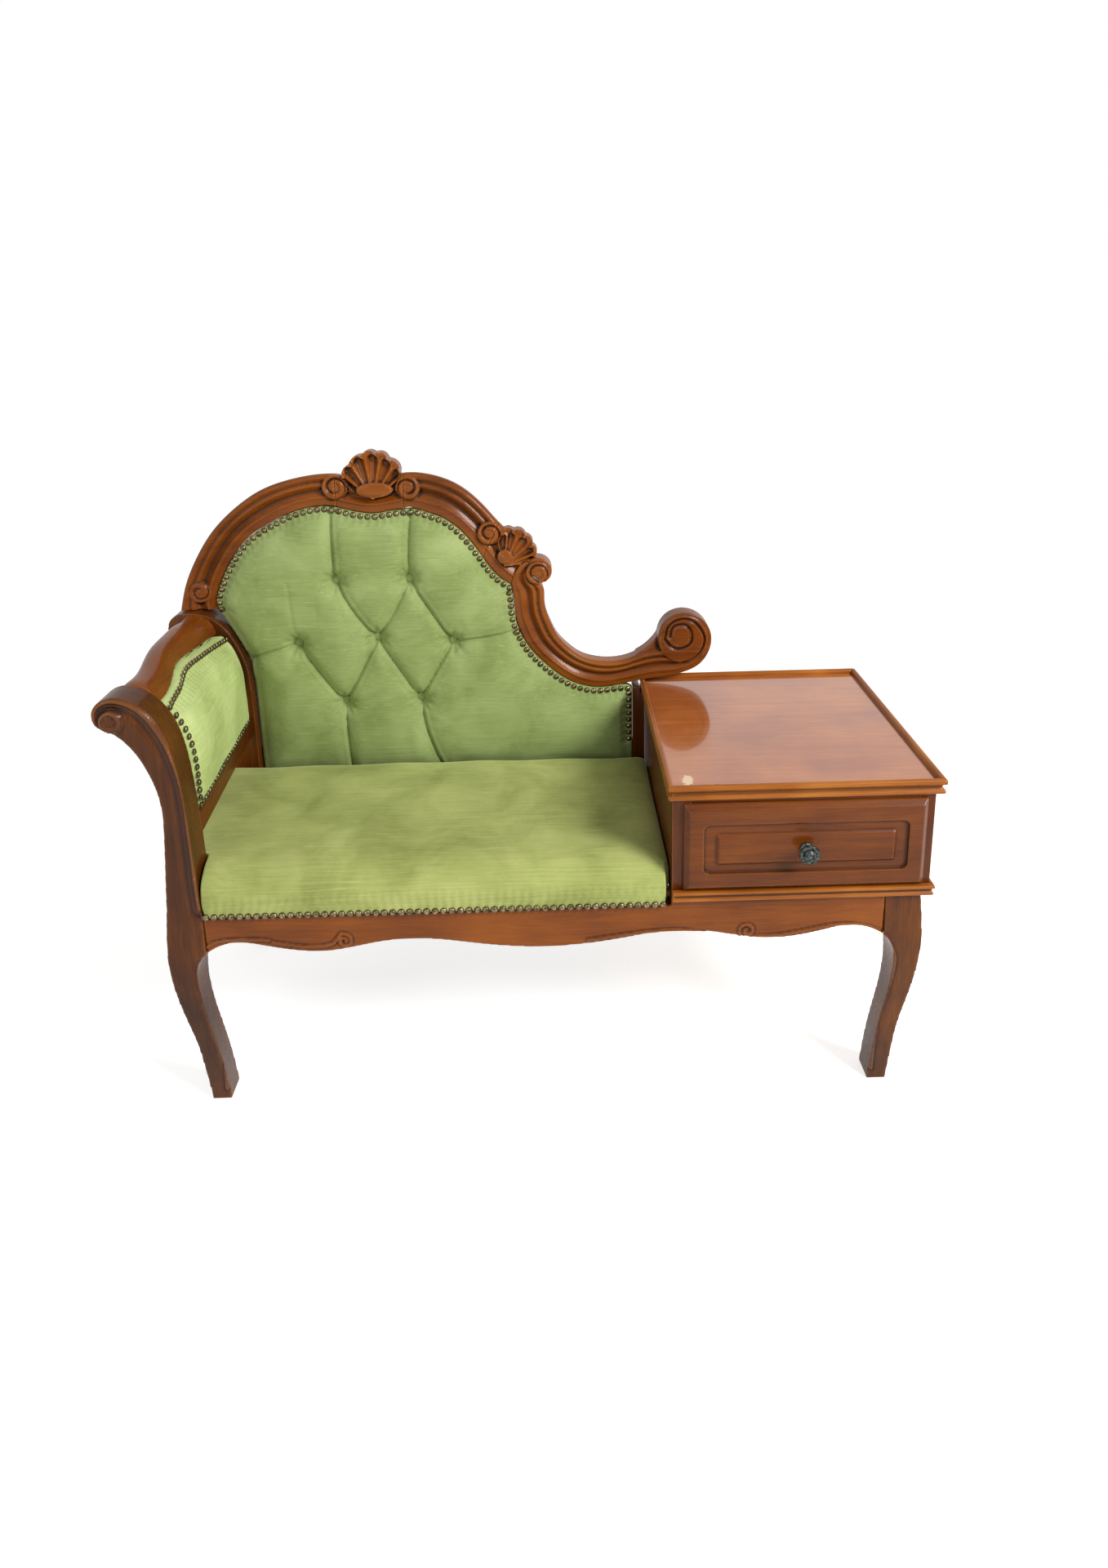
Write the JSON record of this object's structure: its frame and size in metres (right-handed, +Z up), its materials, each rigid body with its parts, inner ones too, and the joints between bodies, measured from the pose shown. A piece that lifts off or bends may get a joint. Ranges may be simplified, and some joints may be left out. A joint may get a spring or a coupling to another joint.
{
  "type": "telephone bench",
  "caption": "Upholstered bench seat with a scrolled arm, a buttoned arched back and a small attached table with a sliding drawer.",
  "frame": {"origin": "on the floor, under the middle of the bench's own box", "axes": "+Z up, +X along the bench from the arm to the table, the sitter faces -Y"},
  "size_m": [1.188, 0.466, 0.9229],
  "materials": {
    "stained_wood": "satin varnish over a red-brown stain",
    "polished_top": "glossy varnish over veneer",
    "plain_wood": "unfinished planed wood",
    "plywood": "unfinished plywood",
    "green_velvet": "short pile velvet",
    "lining_cloth": "thin woven cloth",
    "webbing": "woven jute",
    "nail_brass": "dull antique",
    "knob_brass": "dark antique",
    "steel": "plain"
  },
  "bodies": {
    "bench": {"arm_bottom_rail": "stained_wood", "arm_nails": "nail_brass", "arm_outer_cover": "green_velvet", "arm_pad": "green_velvet", "arm_top_rail": "stained_wood", "back_bottom_rail": "plain_wood", "back_buttons": "green_velvet", "back_crest_rail": "stained_wood", "back_left_arch": "stained_wood", "back_lining": "lining_cloth", "back_nails": "nail_brass", "back_pad": "green_velvet", "back_right_arch": "stained_wood", "back_right_stile": "stained_wood", "back_shoulder_block": "stained_wood", "back_sweep_rail": "stained_wood", "base_moulding_front": "stained_wood", "base_moulding_side": "stained_wood", "cabinet_back": "plywood", "cabinet_bottom": "plain_wood", "cabinet_left_side": "stained_wood", "cabinet_right_side": "stained_wood", "corner_blocks": "plain_wood", "drawer_guides": "plain_wood", "drawer_kickers": "plain_wood", "drawer_runners": "plain_wood", "drawer_stops": "plain_wood", "dust_cover": "lining_cloth", "front_apron": "stained_wood", "front_left_post": "stained_wood", "front_right_leg": "stained_wood", "left_face_stile": "stained_wood", "left_seat_rail": "stained_wood", "lower_face_rail": "stained_wood", "rear_left_post": "stained_wood", "rear_right_leg": "stained_wood", "rear_seat_rail": "plain_wood", "right_face_stile": "stained_wood", "right_seat_rail": "plain_wood", "seat_cross_rail": "plain_wood", "seat_nails": "nail_brass", "seat_pad": "green_velvet", "seat_webbing": "webbing", "table_screws": "steel", "table_top": "polished_top", "top_moulding_back": "stained_wood", "top_moulding_front": "stained_wood", "top_moulding_left": "stained_wood", "top_moulding_right": "stained_wood", "upper_face_rail": "stained_wood"},
    "drawer": {"drawer_front": "stained_wood", "drawer_left_side": "plain_wood", "drawer_right_side": "plain_wood", "drawer_back": "plain_wood", "drawer_bottom": "plywood", "drawer_knob": "knob_brass", "knob_screw": "steel"}
  },
  "joints": [
    {"name": "drawer_slide", "type": "slide", "parent": "bench", "child": "drawer", "axis": [0, -1, 0], "range_m": [0, 0.25]}
  ]
}
